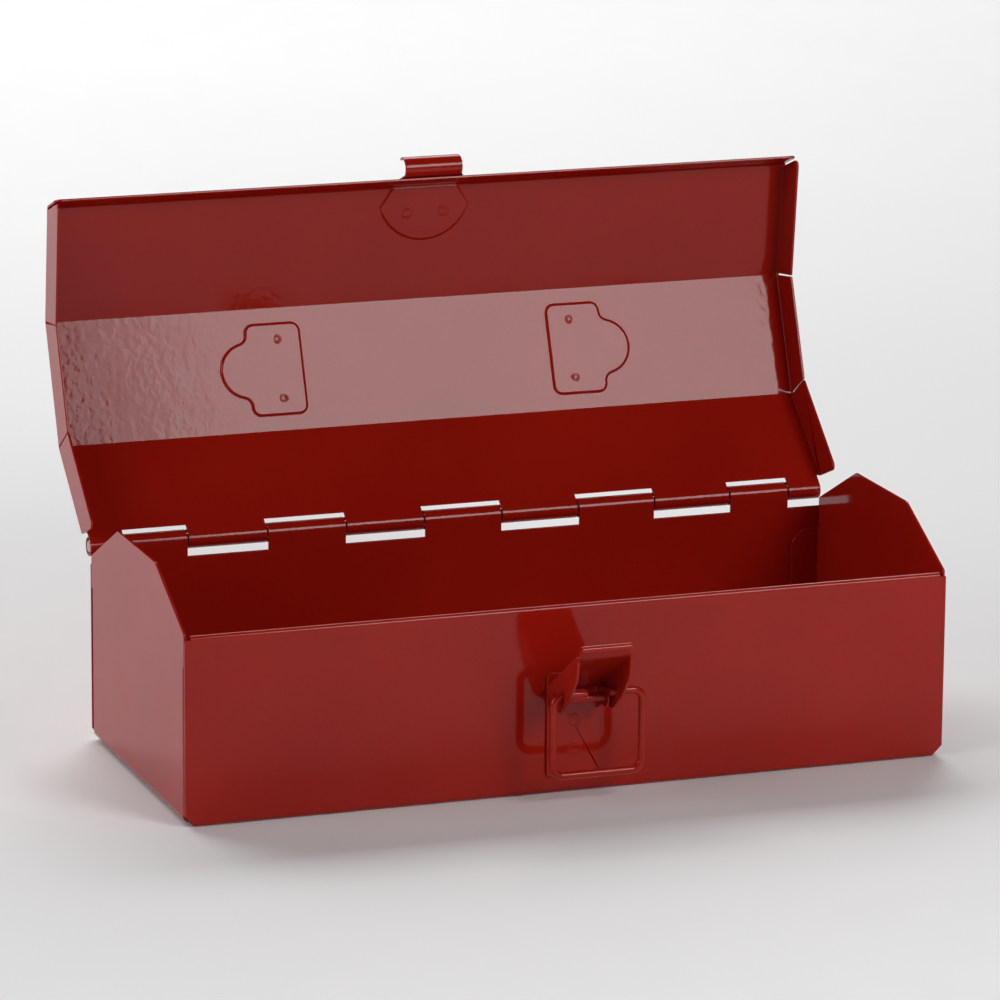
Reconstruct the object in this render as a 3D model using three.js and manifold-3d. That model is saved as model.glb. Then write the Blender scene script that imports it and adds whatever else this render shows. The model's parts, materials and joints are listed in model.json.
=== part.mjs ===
// Small steel toolbox: a folded body, a camber-top lid on a full-width knuckle hinge, a
// drop handle on the lid and a wire-loop draw latch on the front. It stands open.
// Millimetres, +Z up, front towards -Y, origin at the centre of the body's underside.
import * as THREE from 'three';
import { mergeVertices } from 'three/addons/utils/BufferGeometryUtils.js';
import Module from 'manifold-3d';

const wasm = await Module();
wasm.setup();

// ---------------------------------------------------------------- driving dimensions

// Sheet and fits
const SHEET = 0.9; // thickness of every pressed sheet
const SEAT_GAP = 0.3; // between two pieces that are welded or rest on each other
const CUT_OVERRUN = 5; // how far a cutting solid reaches past what it cuts

// Body
const BODY_WIDTH = 283;
const BODY_DEPTH = 116.5;
const WALL_HEIGHT = 68; // front wall, over its hem, and the corners of the ends
const END_RISE = 17.8; // from the walls' top to the flat top of the two end panels
const END_FLAT_LENGTH = 46; // length of that flat, front to back
const END_SHOULDER_ROUND = 1; // corners of an end panel over the walls
const END_PEAK_ROUND = 3; // corners of its flat top
const BOTTOM_BEND = 1.2; // inner radius of the folds along the bottom
const BOTTOM_CLIP = 3.2; // the body sheet's bottom corners are clipped at 45 degrees
const END_BEND = 0.9; // inner radius of the upright folds of an end panel
const FOOT_BEND = 1.6; // inner radius of its fold onto the bottom
const HEM_BEND = 0.5; // inner radius of the hem on the front wall
const HEM_DEPTH = 5.5; // how far the hem turns down
const HEM_SETBACK = 2.2; // hem starts this far in from each corner
const FLAP_WIDTH = 12; // welding flaps of an end panel
const FLAP_DROP = 10.8; // the upright flaps end this far below the walls' top
const FLAP_CORNER = 7.5; // round corner at the top of an upright flap

// Hinge
const BARREL_RADIUS = 3.5; // outside of a rolled knuckle
const PIN_CLEARANCE = 0.35; // hinge pin inside the knuckles
const HINGE_RISE = 2.9; // hinge axis above the top of the walls
const LID_KNUCKLES = 6;
const OUTER_LID_KNUCKLE = 13; // first and last knuckle of the lid
const OUTER_BODY_KNUCKLE = 23.5; // first and last knuckle of the body; the others are equal
const KNUCKLE_GAP = 0.5; // between neighbouring knuckles
const BODY_NOTCH_DEPTH = 2.7; // notches in the back wall under the lid's knuckles
const LID_NOTCH_CLEARANCE = 1.4; // lid sheet to the body's knuckles

// Lid
const LID_TOP_GAP = 2; // over the end panels when the lid is shut
const LID_SIDE_GAP = 1.2; // lid flange to end panel
const LID_FRONT_GAP = 4.1; // lid skirt to front wall
const LID_FORWARD_SHIFT = 0.8; // the lid's creases stand this far ahead of the ends'
const LID_CREASE_BEND = 1.2;
const LID_FLANGE = 13; // depth of the side flanges
const LID_FLANGE_ROUND = 2; // their free corners at the skirt and at the hinge
const LID_SKIRT = 12; // depth of the front skirt
const LID_SKIRT_ROUND = 2.5; // its free corners
const SKIRT_SLIT = 0.9; // between the skirt and the first flange
const FLANGE_SLIT = 0.5; // where two flanges meet
const FLANGE_SLIT_ROUND = 0.4; // corners of the flanges there
const LID_OPEN_ANGLE = 111.2; // degrees, from shut to the stop

// Seats pressed into the lid for the pieces welded on it
const SEAT_RISE = 0.55;
const SEAT_FLANK = 0.75; // width of a seat's sloping edge

// Drop handle and its brackets
const HANDLE_WIRE = 5; // diameter
const HANDLE_WIDTH = 150; // between the middles of the legs
const HANDLE_LEG = 36; // pivot to grip
const HANDLE_BEND = 6;
const HANDLE_END_INSET = 1.75; // the wire's ends stop this far inside the sleeves
const BRACKET_SHEET = 1.2;
const BRACKET_INNER_EDGE = 48; // from the centre of the lid
const BRACKET_OUTER_EDGE = 69.5;
const BRACKET_LENGTH = 34.4; // front to back
const BRACKET_CORNER = 3.5;
const BRACKET_LOBE = 10.5; // radius of the round lobe on the outer edge
const BRACKET_FILLET = 3; // where the lobe runs into that edge
const SLEEVE_LENGTH = 13; // bridge that holds the handle's end
const SLEEVE_WALL = 1;

// Draw latch
const LATCH_PIVOT_OUT = 9.5; // lever pivot in front of the wall
const LATCH_PIVOT_DROP = 20; // lever pivot below the edge of the shut lid's skirt
const LATCH_BASE_INSET = 0.2; // base plate narrower than the lever, at each side
const LATCH_BASE_BOTTOM = 6.3; // over the underside
const LATCH_BASE_ABOVE = 7.5; // base plate above the pivot
const LATCH_BASE_CORNER = 1.5;
const LATCH_EAR_RADIUS = 3.8; // end of a base ear, round the pivot
const LATCH_EAR_ABOVE = 1.6; // foot of a base ear, above and below the pivot
const LATCH_EAR_BELOW = 6.5;
const LEVER_WIDTH = 20.4;
const LEVER_SIDE_GAP = 0.4; // lever ear to base ear
const LEVER_HEEL_GAP = 1; // open lever's heel to the base plate
const LEVER_BEND = 1.6;
const LATCH_PIN = 3; // diameter
const LATCH_PIN_HEAD = 4.8;
const LATCH_PIN_HEAD_THICKNESS = 0.7;
const BAIL_WIRE = 3; // diameter
const BAIL_SIDE_ROOM = 6.3; // lever's sides to the middles of the loop's legs
const BAIL_LENGTH = 28.8; // pivot to the middle of the cross bar
const BAIL_BEND = 4;
const BAIL_END_REACH = 6.2; // its two ends reach this far inside the lever's sides
const BAIL_SIDEWAYS_PLAY = 3; // the loop lies this far to one side
const HOLE_CLEARANCE = 0.3; // radial, in every drilled hole
const HOOK_WIDTH = 22;
const HOOK_RADIUS = 3.1; // inside of the catch's hook
const HOOK_TIP_RISE = 1.5; // straight end of the hook
const HOOK_DROP = 1.9; // hook's lowest point below the skirt's edge
const CATCH_WIDTH = 35; // shield-shaped plate on the lid
const CATCH_NECK = 25; // its width at the lid's front fold
const CATCH_LENGTH = 21.2; // from that fold up the slope
const CATCH_SHOULDER = 7.9; // from the fold up the slope to where the shield is widest

// Side view of the open lever, about its pivot: front is negative, then up, then the
// radius of the corner
const LEVER_BACK = LATCH_PIVOT_OUT - SEAT_GAP - SHEET - LEVER_HEEL_GAP;
const LEVER_HEEL = [LEVER_BACK, 3.1];
const LEVER_KNEE = [-20, 20.2];
const LEVER_LIP = [-21.8, 24.3];
const LEVER_CURL_RADIUS = 0.9; // the lip's edge rolls forward
const LEVER_CURL_SWEEP = (7 / 6) * Math.PI;
const LEVER_EAR = [
  [...LEVER_HEEL, 0.6],
  [LEVER_BACK, -0.6, 1.4],
  [4.6, -2.9, 1.4],
  [-3.9, -3.6, 2.5],
  [-14.3, 4.3, 3],
  [-20.7, 12.4, 4],
  [-21.8, 19.4, 0.6],
  LEVER_KNEE,
];
const BAIL_HOLE = [-7.2, 3.7];

// ---------------------------------------------------------------- derived places

const HALF_WIDTH = BODY_WIDTH / 2;
const HALF_DEPTH = BODY_DEPTH / 2;
const HALF_SHEET = SHEET / 2;
const END_PEAK_HEIGHT = WALL_HEIGHT + END_RISE;
const END_SLOPE = Math.atan2(END_RISE, HALF_DEPTH - END_FLAT_LENGTH / 2);
const FLAP_TOP = WALL_HEIGHT - FLAP_DROP;

const KNUCKLE_MID_RADIUS = BARREL_RADIUS - HALF_SHEET;
const HINGE_Y = HALF_DEPTH - HALF_SHEET + KNUCKLE_MID_RADIUS;
const HINGE_Z = WALL_HEIGHT + HINGE_RISE;
const BARREL_BORE = BARREL_RADIUS - SHEET;
const CURL_SWEEP = (5 / 3) * Math.PI; // how far a knuckle is rolled round the pin

const LID_MID_TOP = END_PEAK_HEIGHT + LID_TOP_GAP + HALF_SHEET;
const LID_CREASE_BACK = END_FLAT_LENGTH / 2 - LID_FORWARD_SHIFT;
const LID_CREASE_FRONT = -END_FLAT_LENGTH / 2 - LID_FORWARD_SHIFT;
const LID_FRONT_MID = -HALF_DEPTH - LID_FRONT_GAP - HALF_SHEET;
const LID_FRONT_FOLD_Z = LID_MID_TOP - (LID_CREASE_FRONT - LID_FRONT_MID) * Math.tan(END_SLOPE);
const LID_SKIRT_BOTTOM = LID_FRONT_FOLD_Z - LID_SKIRT;
const LID_HALF_WIDTH = HALF_WIDTH + LID_SIDE_GAP + SHEET;

const BRACKET_LOW = LID_MID_TOP + HALF_SHEET + SEAT_GAP;
const BRACKET_MIDDLE = (BRACKET_INNER_EDGE + BRACKET_OUTER_EDGE) / 2;
const HANDLE_PIVOT_Y = (LID_CREASE_BACK + LID_CREASE_FRONT) / 2;
const HANDLE_PIVOT_Z = BRACKET_LOW + BRACKET_SHEET + HOLE_CLEARANCE + HANDLE_WIRE / 2;
const HANDLE_TIP = BRACKET_MIDDLE - SLEEVE_LENGTH / 2 + HANDLE_END_INSET;

const LATCH_PIVOT_Y = -HALF_DEPTH - LATCH_PIVOT_OUT;
const LATCH_PIVOT_Z = LID_SKIRT_BOTTOM - LATCH_PIVOT_DROP;
const LATCH_BASE_TOP = LATCH_PIVOT_Z + LATCH_BASE_ABOVE;
const LATCH_BASE_HALF = LEVER_WIDTH / 2 - LATCH_BASE_INSET;
const BAIL_WIDTH = LEVER_WIDTH + 2 * BAIL_SIDE_ROOM;
const BAIL_TIP = LEVER_WIDTH / 2 - BAIL_END_REACH;

// ---------------------------------------------------------------- geometry helpers

const ARC_STEP = Math.PI / 14; // coarsest turn between two points of a bend
const WIRE_SIDES = 10;
const WIRE_STEPS = 64;
const MERGE_DISTANCE = 1e-4;

function toSolid(geometry) {
  const bare = geometry.clone();
  bare.deleteAttribute('normal');
  bare.deleteAttribute('uv');
  const merged = mergeVertices(bare, MERGE_DISTANCE);
  return new wasm.Manifold(new wasm.Mesh({
    numProp: 3,
    vertProperties: new Float32Array(merged.attributes.position.array),
    triVerts: new Uint32Array(merged.index.array),
  }));
}

function toGeometry(solid) {
  const mesh = solid.getMesh();
  const geometry = new THREE.BufferGeometry();
  geometry.setAttribute('position', new THREE.BufferAttribute(new Float32Array(mesh.vertProperties), 3));
  geometry.setIndex(new THREE.BufferAttribute(new Uint32Array(mesh.triVerts), 1));
  geometry.computeVertexNormals();
  return geometry;
}

// A shape drawn in two axes, extruded along the third.
const DRAWING_PLANES = {
  x: new THREE.Matrix4().set(0, 0, 1, 0, 1, 0, 0, 0, 0, 1, 0, 0, 0, 0, 0, 1), // drawn as (y, z)
  y: new THREE.Matrix4().set(1, 0, 0, 0, 0, 0, -1, 0, 0, 1, 0, 0, 0, 0, 0, 1), // drawn as (x, z)
  z: new THREE.Matrix4(), // drawn as (x, y)
};

function prism(axis, shape, low, high) {
  const geometry = new THREE.ExtrudeGeometry(shape, {
    depth: high - low,
    bevelEnabled: false,
    curveSegments: 10,
  });
  geometry.translate(0, 0, axis === 'y' ? -high : low);
  geometry.applyMatrix4(DRAWING_PLANES[axis]);
  return toSolid(geometry);
}

function polygon(points) {
  return new THREE.Shape(points.map(([a, b]) => new THREE.Vector2(a, b)));
}

function rectangle(a0, a1, b0, b1) {
  return polygon([[a0, b0], [a1, b0], [a1, b1], [a0, b1]]);
}

function box(x0, x1, y0, y1, z0, z1) {
  return prism('x', rectangle(y0, y1, z0, z1), x0, x1);
}

function arcPoints(centre, radius, from, sweep) {
  const steps = Math.max(2, Math.ceil(Math.abs(sweep) / ARC_STEP));
  const points = [];
  for (let i = 0; i <= steps; i += 1) {
    const angle = from + (sweep * i) / steps;
    points.push(new THREE.Vector2(
      centre.x + radius * Math.cos(angle),
      centre.y + radius * Math.sin(angle),
    ));
  }
  return points;
}

// Replaces one corner of a path by an arc that touches both of its sides.
function roundedCorner(before, corner, after, radius) {
  const inward = before.clone().sub(corner).normalize();
  const outward = after.clone().sub(corner).normalize();
  const half = Math.acos(THREE.MathUtils.clamp(inward.dot(outward), -1, 1)) / 2;
  const reach = radius / Math.tan(half);
  const start = corner.clone().addScaledVector(inward, reach);
  const bisector = inward.clone().add(outward).normalize();
  const centre = corner.clone().addScaledVector(bisector, radius / Math.sin(half));
  const from = Math.atan2(start.y - centre.y, start.x - centre.x);
  const turnsLeft = inward.cross(outward) < 0;
  const sweep = (Math.PI - 2 * half) * (turnsLeft ? 1 : -1);
  return arcPoints(centre, radius, from, sweep);
}

// Points of an open path whose inner corners are rounded.
function roundedPath(corners, radius) {
  const points = corners.map(([a, b]) => new THREE.Vector2(a, b));
  const path = [points[0]];
  for (let i = 1; i < points.length - 1; i += 1) {
    path.push(...roundedCorner(points[i - 1], points[i], points[i + 1], radius));
  }
  path.push(points[points.length - 1]);
  return path;
}

// A closed outline; each corner is [a, b] or [a, b, radius].
function roundedOutline(corners) {
  const points = corners.map(([a, b]) => new THREE.Vector2(a, b));
  const outline = [];
  corners.forEach(([, , radius = 0], i) => {
    const before = points[(i + points.length - 1) % points.length];
    const after = points[(i + 1) % points.length];
    if (radius > 0) {
      outline.push(...roundedCorner(before, points[i], after, radius));
    } else {
      outline.push(points[i]);
    }
  });
  return new THREE.Shape(outline);
}

// The section of a folded sheet, from the path of its middle surface.
function sheetSection(path, thickness) {
  const left = [];
  const right = [];
  path.forEach((point, i) => {
    const back = i > 0 ? point.clone().sub(path[i - 1]).normalize() : null;
    const ahead = i < path.length - 1 ? path[i + 1].clone().sub(point).normalize() : null;
    const first = back ?? ahead;
    const second = ahead ?? back;
    const tangent = first.clone().add(second).normalize();
    const normal = new THREE.Vector2(-tangent.y, tangent.x);
    const reach = thickness / 2 / Math.sqrt((1 + first.dot(second)) / 2);
    left.push(point.clone().addScaledVector(normal, reach));
    right.push(point.clone().addScaledVector(normal, -reach));
  });
  return new THREE.Shape([...left, ...right.reverse()]);
}

// A round bar along X.
function roundBar(x0, x1, y, z, radius) {
  const circle = new THREE.Shape(arcPoints(new THREE.Vector2(y, z), radius, 0, 2 * Math.PI).slice(1));
  return prism('x', circle, x0, x1);
}

// A wire bent to a C: two inward pivots on the X axis, two legs down and a cross bar.
function bentWire(width, length, bend, tip, diameter) {
  const half = width / 2;
  const corner = (x0, z0, xc, zc, x1, z1) => new THREE.QuadraticBezierCurve3(
    new THREE.Vector3(x0, 0, z0),
    new THREE.Vector3(xc, 0, zc),
    new THREE.Vector3(x1, 0, z1),
  );
  const line = (x0, z0, x1, z1) => new THREE.LineCurve3(
    new THREE.Vector3(x0, 0, z0),
    new THREE.Vector3(x1, 0, z1),
  );
  const path = new THREE.CurvePath();
  path.add(line(-tip, 0, -half + bend, 0));
  path.add(corner(-half + bend, 0, -half, 0, -half, -bend));
  path.add(line(-half, -bend, -half, -length + bend));
  path.add(corner(-half, -length + bend, -half, -length, -half + bend, -length));
  path.add(line(-half + bend, -length, half - bend, -length));
  path.add(corner(half - bend, -length, half, -length, half, -length + bend));
  path.add(line(half, -length + bend, half, -bend));
  path.add(corner(half, -bend, half, 0, half - bend, 0));
  path.add(line(half - bend, 0, tip, 0));
  const section = new THREE.Shape();
  for (let i = 0; i < WIRE_SIDES; i += 1) {
    const angle = (2 * Math.PI * i) / WIRE_SIDES;
    const point = new THREE.Vector2(Math.cos(angle), Math.sin(angle)).multiplyScalar(diameter / 2);
    section[i === 0 ? 'moveTo' : 'lineTo'](point.x, point.y);
  }
  return new THREE.ExtrudeGeometry(section, {
    extrudePath: path,
    steps: WIRE_STEPS,
    bevelEnabled: false,
  });
}

// ---------------------------------------------------------------- hinge layout

// Knuckles from left to right, the lid's and the body's by turns.
function hingeSegments() {
  const bodyKnuckles = LID_KNUCKLES - 1;
  const fullOnes = LID_KNUCKLES - 2 + bodyKnuckles - 2;
  const pitch = (BODY_WIDTH - 2 * (OUTER_LID_KNUCKLE + OUTER_BODY_KNUCKLE)) / fullOnes;
  const widths = [OUTER_LID_KNUCKLE, OUTER_BODY_KNUCKLE];
  for (let i = 0; i < fullOnes; i += 1) {
    widths.push(pitch);
  }
  widths.push(OUTER_BODY_KNUCKLE, OUTER_LID_KNUCKLE);
  let x = -HALF_WIDTH;
  return widths.map((width, i) => {
    const segment = { owner: i % 2 === 0 ? 'lid' : 'body', x0: x, x1: x + width };
    x += width;
    return segment;
  });
}

// Takes the other piece's knuckles out of a folded sheet.
function cutKnuckles(solid, otherOwner, y0, z0) {
  let result = solid;
  for (const { owner, x0, x1 } of hingeSegments()) {
    if (owner === otherOwner) {
      const reachLeft = x0 <= -HALF_WIDTH ? CUT_OVERRUN : KNUCKLE_GAP / 2;
      const reachRight = x1 >= HALF_WIDTH ? CUT_OVERRUN : KNUCKLE_GAP / 2;
      const top = HINGE_Z + BARREL_RADIUS + CUT_OVERRUN;
      const back = HINGE_Y + BARREL_RADIUS + CUT_OVERRUN;
      result = result.subtract(box(x0 - reachLeft, x1 + reachRight, y0, back, z0, top));
    }
  }
  return result;
}

// ---------------------------------------------------------------- body pieces

function bodyShell() {
  const front = -HALF_DEPTH + HALF_SHEET;
  const back = HALF_DEPTH - HALF_SHEET;
  const hemMidRadius = HEM_BEND + HALF_SHEET;
  const hemTop = WALL_HEIGHT - hemMidRadius - HALF_SHEET;
  const hem = [
    new THREE.Vector2(front + 2 * hemMidRadius, hemTop - HEM_DEPTH),
    ...arcPoints(new THREE.Vector2(front + hemMidRadius, hemTop), hemMidRadius, 0, Math.PI),
  ];
  const folds = roundedPath([
    [front, hemTop - HALF_SHEET],
    [front, HALF_SHEET],
    [back, HALF_SHEET],
    [back, HINGE_Z - HALF_SHEET],
  ], BOTTOM_BEND + HALF_SHEET);
  const curl = arcPoints(new THREE.Vector2(HINGE_Y, HINGE_Z), KNUCKLE_MID_RADIUS, Math.PI, -CURL_SWEEP);
  const section = sheetSection([...hem, ...folds, ...curl], SHEET);
  let shell = prism('x', section, -HALF_WIDTH, HALF_WIDTH);
  shell = cutKnuckles(shell, 'lid', HALF_DEPTH - SHEET - CUT_OVERRUN, WALL_HEIGHT - BODY_NOTCH_DEPTH);
  for (const side of [-1, 1]) {
    const inner = side * (HALF_WIDTH - HEM_SETBACK);
    const outer = side * (HALF_WIDTH + CUT_OVERRUN);
    const hemEnd = box(
      Math.min(inner, outer),
      Math.max(inner, outer),
      -HALF_DEPTH + SHEET,
      -HALF_DEPTH + SHEET + CUT_OVERRUN,
      WALL_HEIGHT - HEM_DEPTH - 2 * SHEET - CUT_OVERRUN,
      WALL_HEIGHT + CUT_OVERRUN,
    );
    const topCorner = box(
      Math.min(inner, outer),
      Math.max(inner, outer),
      -HALF_DEPTH - CUT_OVERRUN,
      -HALF_DEPTH + CUT_OVERRUN,
      hemTop,
      WALL_HEIGHT + CUT_OVERRUN,
    );
    const clip = polygon([
      [side * (HALF_WIDTH - BOTTOM_CLIP), -CUT_OVERRUN],
      [side * (HALF_WIDTH - BOTTOM_CLIP), SHEET],
      [side * HALF_WIDTH, SHEET + BOTTOM_CLIP],
      [outer, SHEET + BOTTOM_CLIP],
      [outer, -CUT_OVERRUN],
    ]);
    shell = shell.subtract(hemEnd).subtract(topCorner)
      .subtract(prism('y', clip, -HALF_DEPTH - CUT_OVERRUN, HALF_DEPTH + CUT_OVERRUN));
  }
  return toGeometry(shell);
}

// An end panel is drawn for the right-hand side and mirrored for the left.
function endPanel() {
  const outer = HALF_WIDTH;
  const halfDepth = HALF_DEPTH - SHEET - SEAT_GAP;
  const low = SHEET + SEAT_GAP;
  const bend = END_BEND + HALF_SHEET;
  const mid = outer - HALF_SHEET;
  const midDepth = halfDepth - HALF_SHEET;
  const tip = outer - FLAP_WIDTH;

  const channel = sheetSection(roundedPath([
    [tip, -midDepth],
    [mid, -midDepth],
    [mid, midDepth],
    [tip, midDepth],
  ], bend), SHEET);
  const upright = low + SHEET + FOOT_BEND;
  let panel = prism('z', channel, upright, FLAP_TOP);

  // round the inner top corner of both upright flaps
  const flapOutline = roundedOutline([
    [tip, upright],
    [outer + CUT_OVERRUN, upright],
    [outer + CUT_OVERRUN, FLAP_TOP],
    [tip, FLAP_TOP, FLAP_CORNER],
  ]);
  panel = panel.intersect(prism('y', flapOutline, -HALF_DEPTH, HALF_DEPTH));

  // the panel itself, narrower where it runs into the bends of the upright flaps
  const flatHalf = halfDepth - SHEET - END_BEND;
  const knee = END_FLAT_LENGTH / 2;
  const shoulder = WALL_HEIGHT + (HALF_DEPTH - halfDepth) * Math.tan(END_SLOPE);
  const outline = roundedOutline([
    [-flatHalf, upright],
    [flatHalf, upright],
    [flatHalf, FLAP_TOP - HALF_SHEET],
    [halfDepth, FLAP_TOP - HALF_SHEET],
    [halfDepth, shoulder, END_SHOULDER_ROUND],
    [knee, END_PEAK_HEIGHT, END_PEAK_ROUND],
    [-knee, END_PEAK_HEIGHT, END_PEAK_ROUND],
    [-halfDepth, shoulder, END_SHOULDER_ROUND],
    [-halfDepth, FLAP_TOP - HALF_SHEET],
    [-flatHalf, FLAP_TOP - HALF_SHEET],
  ]);
  panel = panel.add(prism('x', outline, outer - SHEET, outer));

  // the flap that lies on the bottom
  const footFlap = sheetSection(roundedPath([
    [mid, upright + SHEET],
    [mid, low + HALF_SHEET],
    [tip, low + HALF_SHEET],
  ], FOOT_BEND + HALF_SHEET), SHEET);
  panel = panel.add(prism('y', footFlap, -flatHalf, flatHalf));
  return panel;
}

function hingePin() {
  const radius = BARREL_BORE - PIN_CLEARANCE;
  return toGeometry(roundBar(-HALF_WIDTH, HALF_WIDTH, HINGE_Y, HINGE_Z, radius));
}

// ---------------------------------------------------------------- lid pieces, drawn shut

const LID_BACK_SLOPE = (() => {
  const run = HINGE_Y - LID_CREASE_BACK;
  const drop = LID_MID_TOP - HINGE_Z;
  return Math.atan2(drop, run) + Math.asin(KNUCKLE_MID_RADIUS / Math.hypot(run, drop));
})();

// Side view of one flange. Each of its two ends stands back from a point on the sheet by
// inset, and leans away from the flange's perpendicular by lean.
function flangeOutline(start, end) {
  const along = end.at.clone().sub(start.at).normalize();
  const down = new THREE.Vector2(-along.y, along.x);
  const corner = ({ at, inset, lean }, direction, depth) => at.clone()
    .addScaledVector(down, depth)
    .addScaledVector(along, direction * (inset + Math.max(0, depth) * Math.tan(lean)))
    .toArray();
  const free = HALF_SHEET + LID_FLANGE;
  return roundedOutline([
    corner(start, 1, -HALF_SHEET),
    [...corner(start, 1, free), start.round],
    [...corner(end, -1, free), end.round],
    corner(end, -1, -HALF_SHEET),
  ]);
}

// An end of a flange at a crease of the lid, where the next flange meets it.
function creaseEnd(at, slope) {
  return { at, inset: FLANGE_SLIT / 2, lean: slope / 2, round: FLANGE_SLIT_ROUND };
}

// Plan view of a handle bracket: a plate whose outer edge swells into a round lobe.
function bracketOutline(side) {
  const near = BRACKET_INNER_EDGE;
  const far = BRACKET_OUTER_EDGE;
  const front = HANDLE_PIVOT_Y - BRACKET_LENGTH / 2;
  const back = HANDLE_PIVOT_Y + BRACKET_LENGTH / 2;
  const corners = [[near, front], [far, front], [far, back], [near, back]];
  const points = corners.map(([x, y]) => new THREE.Vector2(x, y));
  const round = (i) => roundedCorner(points[(i + 3) % 4], points[i], points[(i + 1) % 4], BRACKET_CORNER);
  const reach = Math.sqrt((BRACKET_LOBE + BRACKET_FILLET) ** 2 - BRACKET_FILLET ** 2);
  const turn = Math.atan2(reach, BRACKET_FILLET);
  const fillet = (dy, from) => arcPoints(
    new THREE.Vector2(far + BRACKET_FILLET, HANDLE_PIVOT_Y + dy),
    BRACKET_FILLET,
    from,
    -turn,
  );
  const lobeCentre = new THREE.Vector2(far, HANDLE_PIVOT_Y);
  const outline = [
    ...round(0),
    ...round(1),
    ...fillet(-reach, Math.PI),
    ...arcPoints(lobeCentre, BRACKET_LOBE, -turn, 2 * turn).slice(1, -1),
    ...fillet(reach, turn - Math.PI),
    ...round(2),
    ...round(3),
  ];
  return new THREE.Shape(outline.map((point) => new THREE.Vector2(side * point.x, point.y)));
}

// The catch's shield, in (across, up the slope) from the lid's front fold.
function shieldPoints() {
  const half = CATCH_WIDTH / 2;
  const rise = CATCH_LENGTH - CATCH_SHOULDER;
  const radius = (half ** 2 + rise ** 2) / (2 * rise);
  const centre = new THREE.Vector2(0, CATCH_LENGTH - radius);
  const from = Math.atan2(CATCH_SHOULDER - centre.y, half);
  return [
    new THREE.Vector2(-CATCH_NECK / 2, 0),
    new THREE.Vector2(CATCH_NECK / 2, 0),
    ...arcPoints(centre, radius, from, Math.PI - 2 * from),
  ];
}

// Plan view of the catch: the shield over the lid's slope and a narrower hook in front.
function catchOutline() {
  const front = LID_FRONT_MID - HALF_SHEET;
  const neck = HOOK_WIDTH / 2;
  const hookEnd = front - 2 * (HOOK_RADIUS + SHEET) - CUT_OVERRUN;
  const shield = shieldPoints().map(({ x, y }) => [x, front + y * Math.cos(END_SLOPE)]);
  return polygon([[-neck, hookEnd], [neck, hookEnd], [neck, front - SHEET], ...shield.slice(1),
    shield[0], [-neck, front - SHEET]]);
}

// A seat pressed into the lid: drawn in its own plane, with sloping edges below that plane.
function pressedSeat(shape, placement) {
  const geometry = new THREE.ExtrudeGeometry(shape, {
    depth: SHEET - SEAT_RISE - HALF_SHEET / 2,
    bevelThickness: SEAT_RISE,
    bevelSize: SEAT_FLANK,
    bevelOffset: -SEAT_FLANK,
    bevelSegments: 1,
  });
  geometry.applyMatrix4(placement);
  return toSolid(geometry);
}

function lidPath() {
  const foot = new THREE.Vector2(
    HINGE_Y - KNUCKLE_MID_RADIUS * Math.sin(LID_BACK_SLOPE),
    HINGE_Z - KNUCKLE_MID_RADIUS * Math.cos(LID_BACK_SLOPE),
  );
  const folds = roundedPath([
    [LID_FRONT_MID, LID_SKIRT_BOTTOM],
    [LID_FRONT_MID, LID_FRONT_FOLD_Z],
    [LID_CREASE_FRONT, LID_MID_TOP],
    [LID_CREASE_BACK, LID_MID_TOP],
    [foot.x, foot.y],
  ], LID_CREASE_BEND + HALF_SHEET);
  folds.pop();
  const axis = new THREE.Vector2(HINGE_Y, HINGE_Z);
  const curl = arcPoints(axis, KNUCKLE_MID_RADIUS, -Math.PI / 2 - LID_BACK_SLOPE, CURL_SWEEP);
  return [...folds, ...curl];
}

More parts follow.
